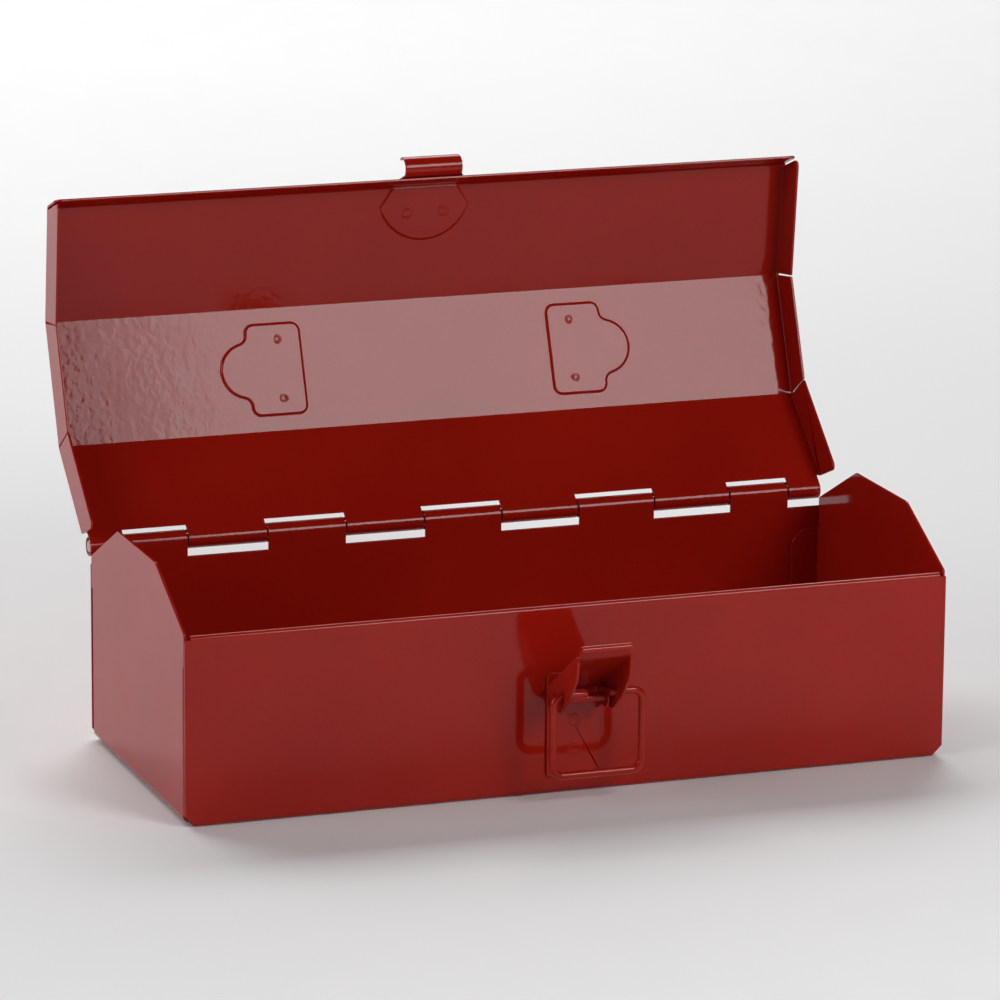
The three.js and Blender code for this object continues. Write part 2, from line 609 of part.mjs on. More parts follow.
function lidShell() {
  const notchEdge = HINGE_Y - BARREL_RADIUS - LID_NOTCH_CLEARANCE;
  let lid = prism('x', sheetSection(lidPath(), SHEET), -LID_HALF_WIDTH, LID_HALF_WIDTH);
  lid = cutKnuckles(lid, 'body', notchEdge, HINGE_Z - BARREL_RADIUS - CUT_OVERRUN);

  // past the hinge the sheet ends where its notches end
  for (const side of [-1, 1]) {
    const inner = side * HALF_WIDTH;
    const outer = side * (LID_HALF_WIDTH + CUT_OVERRUN);
    lid = lid.subtract(box(
      Math.min(inner, outer),
      Math.max(inner, outer),
      notchEdge,
      HINGE_Y + BARREL_RADIUS + CUT_OVERRUN,
      HINGE_Z - BARREL_RADIUS - CUT_OVERRUN,
      HINGE_Z + BARREL_RADIUS + CUT_OVERRUN,
    ));
  }

  // three side flanges at each end, slit apart at the creases and at the skirt
  const frontFold = new THREE.Vector2(LID_FRONT_MID, LID_FRONT_FOLD_Z);
  const creaseFront = new THREE.Vector2(LID_CREASE_FRONT, LID_MID_TOP);
  const creaseBack = new THREE.Vector2(LID_CREASE_BACK, LID_MID_TOP);
  const tail = new THREE.Vector2(
    notchEdge,
    LID_MID_TOP - (notchEdge - LID_CREASE_BACK) * Math.tan(LID_BACK_SLOPE),
  );
  const skirtEnd = {
    at: frontFold,
    inset: (HALF_SHEET + SKIRT_SLIT) / Math.cos(END_SLOPE),
    lean: -END_SLOPE,
    round: LID_FLANGE_ROUND,
  };
  const hingeEnd = { at: tail, inset: 0, lean: -LID_BACK_SLOPE, round: LID_FLANGE_ROUND };
  const frontOutline = flangeOutline(creaseEnd(creaseFront, END_SLOPE), skirtEnd);
  const topOutline = flangeOutline(
    creaseEnd(creaseBack, LID_BACK_SLOPE),
    creaseEnd(creaseFront, END_SLOPE),
  );
  const backOutline = flangeOutline(hingeEnd, creaseEnd(creaseBack, LID_BACK_SLOPE));
  for (const outline of [frontOutline, topOutline, backOutline]) {
    lid = lid.add(prism('x', outline, LID_HALF_WIDTH - SHEET, LID_HALF_WIDTH));
    lid = lid.add(prism('x', outline, -LID_HALF_WIDTH, -LID_HALF_WIDTH + SHEET));
  }

  // seats pressed inwards under the brackets and the catch
  const onTop = new THREE.Matrix4().makeTranslation(0, 0, LID_MID_TOP - HALF_SHEET);
  const onSlope = new THREE.Matrix4().makeTranslation(0, LID_FRONT_MID, LID_FRONT_FOLD_Z)
    .multiply(new THREE.Matrix4().makeRotationX(END_SLOPE))
    .multiply(new THREE.Matrix4().makeTranslation(0, 0, -HALF_SHEET));
  for (const side of [-1, 1]) {
    lid = lid.add(pressedSeat(bracketOutline(side), onTop));
  }
  lid = lid.add(pressedSeat(new THREE.Shape(shieldPoints()), onSlope));

  // round the free corners of the skirt
  for (const side of [-1, 1]) {
    const tip = side * (LID_HALF_WIDTH + CUT_OVERRUN);
    const start = side * (LID_HALF_WIDTH - LID_SKIRT_ROUND);
    const centre = new THREE.Vector2(start, LID_SKIRT_BOTTOM + LID_SKIRT_ROUND);
    const corner = new THREE.Shape([
      ...arcPoints(centre, LID_SKIRT_ROUND, -Math.PI / 2, (side * Math.PI) / 2),
      new THREE.Vector2(tip, LID_SKIRT_BOTTOM + LID_SKIRT_ROUND),
      new THREE.Vector2(tip, LID_SKIRT_BOTTOM - CUT_OVERRUN),
      new THREE.Vector2(start, LID_SKIRT_BOTTOM - CUT_OVERRUN),
    ]);
    const behind = LID_FRONT_MID + HALF_SHEET + SKIRT_SLIT / 2;
    lid = lid.subtract(prism('y', corner, LID_FRONT_MID - CUT_OVERRUN, behind));
  }
  return lid;
}

// Plate welded on the front slope, folded down over the skirt and ending in a hook.
function catchPlate() {
  const offset = HALF_SHEET + SEAT_GAP + HALF_SHEET;
  const lift = offset / Math.cos(END_SLOPE);
  const skirtFace = LID_FRONT_MID - offset;
  const crownY = LID_FRONT_MID + CATCH_LENGTH * Math.cos(END_SLOPE);
  const slopeZ = (y) => LID_FRONT_FOLD_Z + (y - LID_FRONT_MID) * Math.tan(END_SLOPE) + lift;
  const midRadius = HOOK_RADIUS + HALF_SHEET;
  const hookLow = LID_SKIRT_BOTTOM - HOOK_DROP;
  const hookCentre = new THREE.Vector2(skirtFace - midRadius, hookLow + HALF_SHEET + midRadius);
  const path = [
    ...roundedPath([
      [crownY + SHEET, slopeZ(crownY + SHEET)],
      [skirtFace, slopeZ(skirtFace)],
      [skirtFace, hookCentre.y + HALF_SHEET],
    ], LID_CREASE_BEND + SHEET),
    ...arcPoints(hookCentre, midRadius, 0, -Math.PI),
    new THREE.Vector2(hookCentre.x - midRadius, hookCentre.y + HOOK_TIP_RISE),
  ];
  const strip = prism('x', sheetSection(path, SHEET), -CATCH_WIDTH, CATCH_WIDTH);
  return toGeometry(strip.intersect(prism('z', catchOutline(), 0, LID_MID_TOP + CUT_OVERRUN)));
}

// Bracket welded on the lid's top, with the sleeve that one end of the handle turns in.
function handleBracket(side) {
  const high = BRACKET_LOW + BRACKET_SHEET;
  const bore = HANDLE_WIRE / 2 + HOLE_CLEARANCE;
  const roof = bore + SLEEVE_WALL;
  const middle = side * BRACKET_MIDDLE;
  const x0 = middle - SLEEVE_LENGTH / 2;
  const x1 = middle + SLEEVE_LENGTH / 2;
  const plate = prism('z', bracketOutline(side), BRACKET_LOW, high);
  const arch = new THREE.Shape([
    ...arcPoints(new THREE.Vector2(HANDLE_PIVOT_Y, HANDLE_PIVOT_Z), roof, 0, Math.PI),
    new THREE.Vector2(HANDLE_PIVOT_Y - roof, high - BRACKET_SHEET / 2),
    new THREE.Vector2(HANDLE_PIVOT_Y + roof, high - BRACKET_SHEET / 2),
  ]);
  const sleeve = prism('x', arch, x0, x1);
  const hole = roundBar(x0 - CUT_OVERRUN, x1 + CUT_OVERRUN, HANDLE_PIVOT_Y, HANDLE_PIVOT_Z, bore);
  return toGeometry(plate.add(sleeve).subtract(hole));
}

// ---------------------------------------------------------------- latch pieces

function latchBase() {
  const back = -HALF_DEPTH - SEAT_GAP;
  const front = back - SHEET;
  const half = LATCH_BASE_HALF;
  const plateOutline = roundedOutline([
    [-half, LATCH_BASE_BOTTOM, LATCH_BASE_CORNER],
    [half, LATCH_BASE_BOTTOM, LATCH_BASE_CORNER],
    [half, LATCH_BASE_TOP, LATCH_BASE_CORNER],
    [-half, LATCH_BASE_TOP, LATCH_BASE_CORNER],
  ]);
  let base = prism('y', plateOutline, front, back);
  const earOuter = LEVER_WIDTH / 2 - SHEET - LEVER_SIDE_GAP;
  const centre = new THREE.Vector2(LATCH_PIVOT_Y, LATCH_PIVOT_Z);
  const earOutline = new THREE.Shape([
    new THREE.Vector2(back - HALF_SHEET, LATCH_PIVOT_Z - LATCH_EAR_BELOW),
    new THREE.Vector2(back - HALF_SHEET, LATCH_PIVOT_Z + LATCH_EAR_ABOVE),
    ...arcPoints(centre, LATCH_EAR_RADIUS, Math.PI / 3, (4 / 3) * Math.PI),
  ]);
  const hole = roundBar(-half, half, LATCH_PIVOT_Y, LATCH_PIVOT_Z, LATCH_PIN / 2 + HOLE_CLEARANCE);
  for (const side of [-1, 1]) {
    const inner = side * (earOuter - SHEET);
    const outer = side * earOuter;
    base = base.add(prism('x', earOutline, Math.min(inner, outer), Math.max(inner, outer)));
  }
  return toGeometry(base.subtract(hole));
}

function latchPin() {
  const half = LEVER_WIDTH / 2 + SEAT_GAP;
  const bar = roundBar(-half, half, LATCH_PIVOT_Y, LATCH_PIVOT_Z, LATCH_PIN / 2);
  const head = (x0, x1) => roundBar(x0, x1, LATCH_PIVOT_Y, LATCH_PIVOT_Z, LATCH_PIN_HEAD / 2);
  const end = half + LATCH_PIN_HEAD_THICKNESS;
  return toGeometry(bar.add(head(-end, -half)).add(head(half, end)));
}

// Cuts the two ends of the finger lip back to the inside of the ears.
function lipSideCuts() {
  const half = LEVER_WIDTH / 2;
  const cuts = [-1, 1].map((side) => {
    const inner = side * (half - SHEET);
    const outer = side * (half + CUT_OVERRUN);
    return box(
      Math.min(inner, outer),
      Math.max(inner, outer),
      LEVER_LIP[0] - CUT_OVERRUN,
      LEVER_KNEE[0] + CUT_OVERRUN,
      LEVER_KNEE[1] + SHEET,
      LEVER_LIP[1] + CUT_OVERRUN,
    );
  });
  return cuts[0].add(cuts[1]);
}

// A channel drawn in its open position, with the pivot on its own X axis.
function latchLever() {
  const half = LEVER_WIDTH / 2;
  const lip = new THREE.Vector2(...LEVER_LIP);
  const rise = lip.clone().sub(new THREE.Vector2(...LEVER_KNEE)).normalize();
  const forward = new THREE.Vector2(-rise.y, rise.x);
  const curl = arcPoints(
    lip.clone().addScaledVector(forward, LEVER_CURL_RADIUS),
    LEVER_CURL_RADIUS,
    Math.atan2(-forward.y, -forward.x),
    LEVER_CURL_SWEEP,
  );
  const folds = roundedPath([LEVER_HEEL, LEVER_KNEE, LEVER_LIP], LEVER_BEND);
  const back = sheetSection([...folds.slice(0, -1), ...curl], SHEET);
  const ear = roundedOutline(LEVER_EAR);
  let lever = prism('x', back, -half, half);
  for (const side of [-1, 1]) {
    const inner = side * (half - SHEET);
    const outer = side * half;
    lever = lever.add(prism('x', ear, Math.min(inner, outer), Math.max(inner, outer)));
  }
  const drill = (y, z, wire) => roundBar(
    -half - CUT_OVERRUN,
    half + CUT_OVERRUN,
    y,
    z,
    wire / 2 + HOLE_CLEARANCE,
  );
  return toGeometry(lever
    .subtract(drill(0, 0, LATCH_PIN))
    .subtract(drill(...BAIL_HOLE, BAIL_WIRE))
    .subtract(lipSideCuts()));
}

// ---------------------------------------------------------------- materials and scene

const ENAMEL = { color: 0x8c1a12, roughness: 0.22, metalness: 0 };
const LID_ENAMEL = { color: 0x86180f, roughness: 0.22, metalness: 0 };
const PIN_STEEL = { color: 0x9a9a98, roughness: 0.35, metalness: 1 };

const toolbox = new THREE.Group();

function addPiece(parent, name, geometry, finish) {
  const mesh = new THREE.Mesh(geometry, new THREE.MeshStandardMaterial(finish));
  mesh.name = name;
  parent.add(mesh);
  return mesh;
}

function mirrored(solid) {
  return solid.mirror([1, 0, 0]);
}

// body
const rightEnd = endPanel();
addPiece(toolbox, 'body_shell', bodyShell(), ENAMEL);
addPiece(toolbox, 'end_panel_right', toGeometry(rightEnd), ENAMEL);
addPiece(toolbox, 'end_panel_left', toGeometry(mirrored(rightEnd)), ENAMEL);
addPiece(toolbox, 'hinge_pin', hingePin(), PIN_STEEL);
addPiece(toolbox, 'latch_base', latchBase(), ENAMEL);
addPiece(toolbox, 'latch_pin', latchPin(), ENAMEL);

// The lid is drawn shut and swung back about the hinge axis to its stop.
const lidSwing = new THREE.Group();
lidSwing.position.set(0, HINGE_Y, HINGE_Z);
lidSwing.rotation.x = -THREE.MathUtils.degToRad(LID_OPEN_ANGLE);
toolbox.add(lidSwing);
const lidGroup = new THREE.Group();
lidGroup.position.set(0, -HINGE_Y, -HINGE_Z);
lidSwing.add(lidGroup);
addPiece(lidGroup, 'lid_shell', toGeometry(lidShell()), LID_ENAMEL);
addPiece(lidGroup, 'catch_plate', catchPlate(), LID_ENAMEL);
addPiece(lidGroup, 'handle_bracket_left', handleBracket(-1), ENAMEL);
addPiece(lidGroup, 'handle_bracket_right', handleBracket(1), ENAMEL);

// The handle hangs straight down from its pivots, whatever the lid's angle.
const handleGroup = new THREE.Group();
handleGroup.position.set(0, HANDLE_PIVOT_Y, HANDLE_PIVOT_Z);
handleGroup.rotation.x = THREE.MathUtils.degToRad(LID_OPEN_ANGLE);
lidGroup.add(handleGroup);
const handleWire = bentWire(HANDLE_WIDTH, HANDLE_LEG, HANDLE_BEND, HANDLE_TIP, HANDLE_WIRE);
addPiece(handleGroup, 'handle', handleWire, ENAMEL);

// The lever stands open, and its wire loop hangs straight down.
const leverGroup = new THREE.Group();
leverGroup.position.set(0, LATCH_PIVOT_Y, LATCH_PIVOT_Z);
toolbox.add(leverGroup);
addPiece(leverGroup, 'latch_lever', latchLever(), ENAMEL);
const bailWire = bentWire(BAIL_WIDTH, BAIL_LENGTH, BAIL_BEND, BAIL_TIP, BAIL_WIRE);
const bail = addPiece(leverGroup, 'latch_bail', bailWire, ENAMEL);
bail.position.set(BAIL_SIDEWAYS_PLAY, ...BAIL_HOLE);

export default toolbox;
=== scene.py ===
"""Looks of a small enamelled steel toolbox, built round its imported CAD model.

Lengths are in metres, in the CAD model's own frame: +X to the right, -Y to the front, +Z up.
"""
import json
import math

import bmesh
import bpy
from mathutils import Matrix, Quaternion, Vector
from mathutils.bvhtree import BVHTree


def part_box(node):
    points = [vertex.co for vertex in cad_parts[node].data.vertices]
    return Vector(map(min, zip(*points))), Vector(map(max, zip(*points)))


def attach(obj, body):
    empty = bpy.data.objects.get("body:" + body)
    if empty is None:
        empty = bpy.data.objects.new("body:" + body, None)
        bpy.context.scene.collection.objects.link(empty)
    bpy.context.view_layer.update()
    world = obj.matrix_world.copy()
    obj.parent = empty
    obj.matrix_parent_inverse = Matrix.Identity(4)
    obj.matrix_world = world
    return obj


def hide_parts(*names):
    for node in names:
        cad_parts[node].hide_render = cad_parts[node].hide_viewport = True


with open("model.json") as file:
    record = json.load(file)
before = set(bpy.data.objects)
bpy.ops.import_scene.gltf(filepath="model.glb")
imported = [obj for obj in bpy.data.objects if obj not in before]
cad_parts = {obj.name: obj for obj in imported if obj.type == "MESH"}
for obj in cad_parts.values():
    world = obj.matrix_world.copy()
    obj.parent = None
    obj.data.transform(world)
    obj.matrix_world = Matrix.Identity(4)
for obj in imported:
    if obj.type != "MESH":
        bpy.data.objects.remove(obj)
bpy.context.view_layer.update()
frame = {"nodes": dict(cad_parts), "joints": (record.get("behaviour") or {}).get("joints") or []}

MM = 0.001

# Camera
CAMERA_PLACE = Vector((-0.7063, -1.9348, 0.6021))
CAMERA_HEADING = math.radians(-19.88)
CAMERA_TILT = math.radians(76.08)
CAMERA_ROLL = math.radians(0.47)
CAMERA_LENS_MM = 214.5
CAMERA_SENSOR_MM = 36

# Clean-up of the CAD meshes and rounding of cut sheet edges
EDGE_ROUND = 0.22 * MM
EDGE_SEGMENTS = 3
SHARP_ANGLE = math.radians(32)
FLAT_ANGLE = math.radians(1.5)
MERGE_DISTANCE = 0.04 * MM  # closer corners are left over from joining CAD solids
FLAT_FACES_LEAD = 100  # a vertex takes its normal from the largest face round it

# Wires
WIRE_SIDES = 28
BEND_STEPS = 12
HANDLE_BEND = 7 * MM
HANDLE_END_REACH = 54 * MM  # from the middle of the wire to each of its two ends
LOOP_BEND = 4 * MM
LOOP_END_REACH = 4 * MM
WIRE_END_ROUND = 0.5 * MM
CAP_ANGLES = (0, 30, 60, 90)  # degrees round that rounding, from the flat end

# Lid, as the lid_hinge joint's stop leaves it
LID_JOINT = next(j for j in frame["joints"] if j["name"] == "lid_hinge")
LID_AXIS = Vector(LID_JOINT["pos_m"])
LID_OPEN_ANGLE = math.radians(LID_JOINT["range_deg"][1])


# ------------------------------------------------------------------ materials

class Nodes:
    """Builds one node material, with short calls for the nodes it uses."""

    def __init__(self, name):
        self.material = bpy.data.materials.new(name)
        self.material.use_nodes = True
        self.tree = self.material.node_tree
        self.shader = self.tree.nodes["Principled BSDF"]
        self.place = self.add("ShaderNodeTexCoord").outputs["Object"]

    def add(self, kind, **settings):
        node = self.tree.nodes.new(kind)
        for key, value in settings.items():
            setattr(node, key, value)
        return node

    def link(self, source, target):
        self.tree.links.new(source, target)

    def noise(self, scale, detail=2.0, roughness=0.5, distortion=0.0):
        node = self.add("ShaderNodeTexNoise")
        self.link(self.place, node.inputs["Vector"])
        node.inputs["Scale"].default_value = scale
        node.inputs["Detail"].default_value = detail
        node.inputs["Roughness"].default_value = roughness
        node.inputs["Distortion"].default_value = distortion
        return node.outputs["Fac"]

    def spots(self, scale, low, high):
        """1 at the middle of scattered round spots, 0 away from them."""
        node = self.add("ShaderNodeTexVoronoi")
        self.link(self.place, node.inputs["Vector"])
        node.inputs["Scale"].default_value = scale
        return self.ramp(node.outputs["Distance"], low, high, 1.0, 0.0)

    def ramp(self, source, low, high, at_low, at_high):
        node = self.add("ShaderNodeMapRange")
        self.link(source, node.inputs["Value"])
        node.inputs["From Min"].default_value = low
        node.inputs["From Max"].default_value = high
        node.inputs["To Min"].default_value = at_low
        node.inputs["To Max"].default_value = at_high
        return node.outputs["Result"]

    def mix(self, factor, first, second):
        node = self.add("ShaderNodeMix", data_type="RGBA")
        self.link(factor, node.inputs["Factor"])
        for socket, colour in ((node.inputs[6], first), (node.inputs[7], second)):
            if hasattr(colour, "links"):
                self.link(colour, socket)
            else:
                socket.default_value = (*colour, 1.0)
        return node.outputs[2]

    def bump(self, height, distance, before=None):
        node = self.add("ShaderNodeBump")
        node.inputs["Strength"].default_value = 1.0
        node.inputs["Distance"].default_value = distance
        self.link(height, node.inputs["Height"])
        if before is not None:
            self.link(before, node.inputs["Normal"])
        return node.outputs["Normal"]

    def finish(self, colour, roughness, normal):
        self.link(colour, self.shader.inputs["Base Color"])
        self.link(roughness, self.shader.inputs["Roughness"])
        self.link(normal, self.shader.inputs["Normal"])
        return self.material


# Enamel; scales are in noise cells per metre
ENAMEL_IOR = 1.35
DEEP_RED = (0.33, 0.0085, 0.0035)  # where it has pooled
FULL_RED = (0.385, 0.012, 0.005)
PATCH_SCALE = 14
GRAIN_SCALE = 900
GRAIN_SHARE = 0.35  # of the light grain's colour, at most
GRAIN_LIGHTER = 1.5
GLOSS_SCALE = 60
GLOSSIEST = 0.06
DULLEST = 0.1
WAVE_SCALE = 70
WAVE_TO_PEEL = 1.5  # depth of the long waves over that of the orange peel
NIB_SCALE = 95
NIB_RADIUS = 0.05  # of a cell
NIB_HEIGHT = 0.02 * MM

# Drawn steel
LINE_STRETCH = 0.02  # noise cells along X, as a share of those across it
LINE_SCALE = 2600
LINE_DEPTH = 0.004 * MM
OVERSPRAY_SCALE = 300
DARK_STEEL = (0.34, 0.33, 0.32)
LIGHT_STEEL = (0.58, 0.56, 0.54)
OVERSPRAY_RED = (0.25, 0.012, 0.006)


def enamel(name, peel_depth, peel_scale):
    """Glossy red stoving enamel: pooled and thin patches, orange peel and a few dust nibs."""
    n = Nodes(name)
    patches = n.ramp(n.noise(PATCH_SCALE, 3), 0.3, 0.7, 0.0, 1.0)
    grain = n.ramp(n.noise(GRAIN_SCALE, 2), 0.62, 0.8, 0.0, GRAIN_SHARE)
    colour = n.mix(patches, DEEP_RED, FULL_RED)
    colour = n.mix(grain, colour, [c * GRAIN_LIGHTER for c in FULL_RED])
    gloss = n.ramp(n.noise(GLOSS_SCALE, 4, 0.6), 0.25, 0.75, GLOSSIEST, DULLEST)
    peel = n.bump(n.noise(peel_scale, 1.6, 0.45, 0.3), peel_depth)
    waves = n.bump(n.noise(WAVE_SCALE, 1, 0.4), peel_depth * WAVE_TO_PEEL, peel)
    nibs = n.bump(n.spots(NIB_SCALE, 0.0, NIB_RADIUS), NIB_HEIGHT, waves)
    n.shader.inputs["IOR"].default_value = ENAMEL_IOR
    return n.finish(colour, gloss, nibs)


def pin_steel():
    """Drawn steel wire with fine lines along it and a little red overspray."""
    n = Nodes("pin_steel")
    squeeze = n.add("ShaderNodeMapping")
    squeeze.inputs["Scale"].default_value = (LINE_STRETCH, 1.0, 1.0)
    n.link(n.place, squeeze.inputs["Vector"])
    n.place = squeeze.outputs["Vector"]
    lines = n.noise(LINE_SCALE, 3)
    steel = n.mix(n.ramp(lines, 0.3, 0.7, 0.0, 1.0), DARK_STEEL, LIGHT_STEEL)
    overspray = n.ramp(n.noise(OVERSPRAY_SCALE, 2), 0.55, 0.62, 0.0, 0.8)
    colour = n.mix(overspray, steel, OVERSPRAY_RED)
    roughness = n.ramp(lines, 0.3, 0.7, 0.22, 0.4)
    n.shader.inputs["Metallic"].default_value = 0.9
    return n.finish(colour, roughness, n.bump(lines, LINE_DEPTH))


BODY_ENAMEL = enamel("body_enamel", 0.012 * MM, 420)
LID_ENAMEL = enamel("lid_enamel", 0.045 * MM, 400)  # sprayed thicker, with more orange peel
HARDWARE_ENAMEL = enamel("hardware_enamel", 0.012 * MM, 520)
PIN_STEEL = pin_steel()


# ------------------------------------------------------------------ mesh helpers

def new_object(name, bm, material):
    mesh = bpy.data.meshes.new(name)
    bm.to_mesh(mesh)
    bm.free()
    for polygon in mesh.polygons:
        polygon.use_smooth = True
    mesh.materials.append(material)
    piece = bpy.data.objects.new(name, mesh)
    bpy.context.scene.collection.objects.link(piece)
    return piece


def round_edges(piece):
    bevel = piece.modifiers.new("rounded_edges", "BEVEL")
    bevel.width = EDGE_ROUND
    bevel.segments = EDGE_SEGMENTS
    bevel.limit_method = "ANGLE"
    bevel.angle_limit = SHARP_ANGLE
    bevel.use_clamp_overlap = False
    shading = piece.modifiers.new("flat_faces_stay_flat", "WEIGHTED_NORMAL")
    shading.weight = FLAT_FACES_LEAD
    shading.keep_sharp = False


def place(piece, body):
    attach(piece, body)
    return piece


def sheet_piece(name, node, body, material):
    """A CAD node's shape with whole flat faces, rounded cut edges and smooth bends."""
    bm = bmesh.new()
    bm.from_mesh(frame["nodes"][node].data)
    bmesh.ops.remove_doubles(bm, verts=bm.verts, dist=MERGE_DISTANCE)
    bmesh.ops.dissolve_degenerate(bm, edges=bm.edges, dist=MERGE_DISTANCE)
    bmesh.ops.dissolve_limit(
        bm, angle_limit=FLAT_ANGLE, use_dissolve_boundaries=False,
        verts=bm.verts, edges=bm.edges,
    )
    bmesh.ops.recalc_face_normals(bm, faces=bm.faces)
    piece = new_object(name, bm, material)
    round_edges(piece)
    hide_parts(node)
    return place(piece, body)


def wire_cap(station, inward):
    """Sections of a wire's rounded end, from its flat face to its full size."""
    point, across, up, radius = station
    cap = []
    for degrees in CAP_ANGLES:
        turn = math.radians(degrees)
        middle = point + inward * WIRE_END_ROUND * (1 - math.cos(turn))
        cap.append((middle, across, up, radius - WIRE_END_ROUND * (1 - math.sin(turn))))
    return cap


def swept(name, path, radius, material):
    """A round wire along a path, with rounded ends."""
    bm = bmesh.new()
    directions = [(b - a).normalized() for a, b in zip(path, path[1:])]
    tangents = [directions[0]]
    tangents += [(a + b).normalized() for a, b in zip(directions, directions[1:])]
    tangents.append(directions[-1])
    side = tangents[0].orthogonal().normalized()
    stations = []
    for i, (point, tangent) in enumerate(zip(path, tangents)):
        if i:
            side = tangents[i - 1].rotation_difference(tangent) @ side
        stations.append((point, side.copy(), tangent.cross(side), radius))
    first_cap = wire_cap(stations[0], tangents[0])
    last_cap = wire_cap(stations[-1], -tangents[-1])
    stations = first_cap + stations[1:-1] + last_cap[::-1]
    rings = []
    for point, across, up, size in stations:
        ring = []
        for k in range(WIRE_SIDES):
            angle = 2 * math.pi * k / WIRE_SIDES
            ring.append(bm.verts.new(point + size * (math.cos(angle) * across + math.sin(angle) * up)))
        rings.append(ring)
    for first, second in zip(rings, rings[1:]):
        for k in range(WIRE_SIDES):
            m = (k + 1) % WIRE_SIDES
            bm.faces.new((first[k], first[m], second[m], second[k]))
    bm.faces.new(rings[0][::-1])
    bm.faces.new(rings[-1])
    bmesh.ops.recalc_face_normals(bm, faces=bm.faces)
    return new_object(name, bm, material)


def turned(name, profile, centre, axis, material, sides):
    """A piece turned round an axis, from (distance along it, radius) pairs."""
    bm = bmesh.new()
    across = axis.orthogonal().normalized()
    up = axis.cross(across)
    rings = []
    for along, radius in profile:
        middle = centre + axis * along
        if radius == 0:
            rings.append([bm.verts.new(middle)])
            continue
        ring = []
        for k in range(sides):
            angle = 2 * math.pi * k / sides
            ring.append(bm.verts.new(middle + radius * (math.cos(angle) * across + math.sin(angle) * up)))
        rings.append(ring)
    for first, second in zip(rings, rings[1:]):
        for k in range(sides):
            m = (k + 1) % sides
            corners = [first[k % len(first)], first[m % len(first)]]
            corners += [second[m % len(second)], second[k % len(second)]]
            face = []
            for corner in corners:
                if corner not in face:
                    face.append(corner)
            bm.faces.new(face)
    bmesh.ops.recalc_face_normals(bm, faces=bm.faces)
    return new_object(name, bm, material)


def rounded_route(corners, radius):
    """Points along a path whose inner corners are arcs."""
    route = [corners[0]]
    for before, corner, after in zip(corners, corners[1:], corners[2:]):
        inward = (before - corner).normalized()
        outward = (after - corner).normalized()
        half = inward.angle(outward) / 2
        centre = corner + (inward + outward).normalized() * radius / math.sin(half)
        start = corner + inward * radius / math.tan(half)
        axis = (start - centre).cross(corner - centre).normalized()
        sweep = math.pi - 2 * half
        for i in range(BEND_STEPS + 1):
            turn = Quaternion(axis, sweep * i / BEND_STEPS)
            route.append(centre + turn @ (start - centre))
    route.append(corners[-1])
    return route


# ------------------------------------------------------------------ sheet-metal pieces

def sheet_pieces():
    sheet_piece("body_sheet", "body_shell", "body", BODY_ENAMEL)
    for side in ("right", "left"):
        sheet_piece(f"{side}_end", f"end_panel_{side}", "body", BODY_ENAMEL)
        sheet_piece(
            f"{side}_handle_bracket", f"handle_bracket_{side}", "lid",
            HARDWARE_ENAMEL,
        )
    sheet_piece("lid_sheet", "lid_shell", "lid", LID_ENAMEL)
    sheet_piece("catch_shield", "catch_plate", "lid", LID_ENAMEL)
    sheet_piece("latch_base_plate", "latch_base", "body", HARDWARE_ENAMEL)
    sheet_piece("finger_lever", "latch_lever", "latch_lever", HARDWARE_ENAMEL)


# ------------------------------------------------------------------ wires and pins

def bent_wire(name, node, body, bend, end_reach):
    """The C-shaped wire that fills a CAD node's box: two inward ends, two legs, one bar."""
    low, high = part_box(node)
    radius = (high.y - low.y) / 2
    y = (low.y + high.y) / 2
    left, right = low.x + radius, high.x - radius
    top, bottom = high.z - radius, low.z + radius
    middle = (left + right) / 2
    corners = [(middle - end_reach, top), (left, top), (left, bottom)]
    corners += [(right, bottom), (right, top), (middle + end_reach, top)]
    route = rounded_route([Vector((x, y, z)) for x, z in corners], bend)
    piece = swept(name, route, radius, HARDWARE_ENAMEL)
    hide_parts(node)
    return place(piece, body)


def hinge_wire():
    low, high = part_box("hinge_pin")
    radius = (high.z - low.z) / 2
    y = (low.y + high.y) / 2
    z = (low.z + high.z) / 2
    piece = swept("hinge_wire", [Vector((low.x, y, z)), Vector((high.x, y, z))], radius, PIN_STEEL)
    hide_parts("hinge_pin")
    return place(piece, "body")


HEAD_THICKNESS = 0.7 * MM
PIN_RADIUS = 1.5 * MM
RIVET_SIDES = 36
DOME_SHARE = 0.8  # of a head's thickness that is domed
DOME_ANGLES = (20, 40, 60, 75, 90)  # degrees, from the middle of the dome to its rim


def latch_rivet():
    """The lever's pin, with a domed head at each end."""
    low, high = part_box("latch_pin")
    head = (high.z - low.z) / 2
    half = (high.x - low.x) / 2
    centre = (low + high) / 2
    dome = [(-half, 0.0)]
    for degrees in DOME_ANGLES:
        angle = math.radians(degrees)
        sunk = HEAD_THICKNESS * DOME_SHARE * (1 - math.cos(angle))
        dome.append((-half + sunk, head * math.sin(angle)))
    shoulder = [(-half + HEAD_THICKNESS, head), (-half + HEAD_THICKNESS, PIN_RADIUS)]
    left = dome + shoulder
    right = [(-along, radius) for along, radius in reversed(left)]
    piece = turned(
        "latch_rivet", left + right, centre, Vector((1, 0, 0)), HARDWARE_ENAMEL, RIVET_SIDES,
    )
    piece.modifiers.new("shading", "WEIGHTED_NORMAL")
    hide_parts("latch_pin")
    return place(piece, "body")


# ------------------------------------------------------------------ spot welds

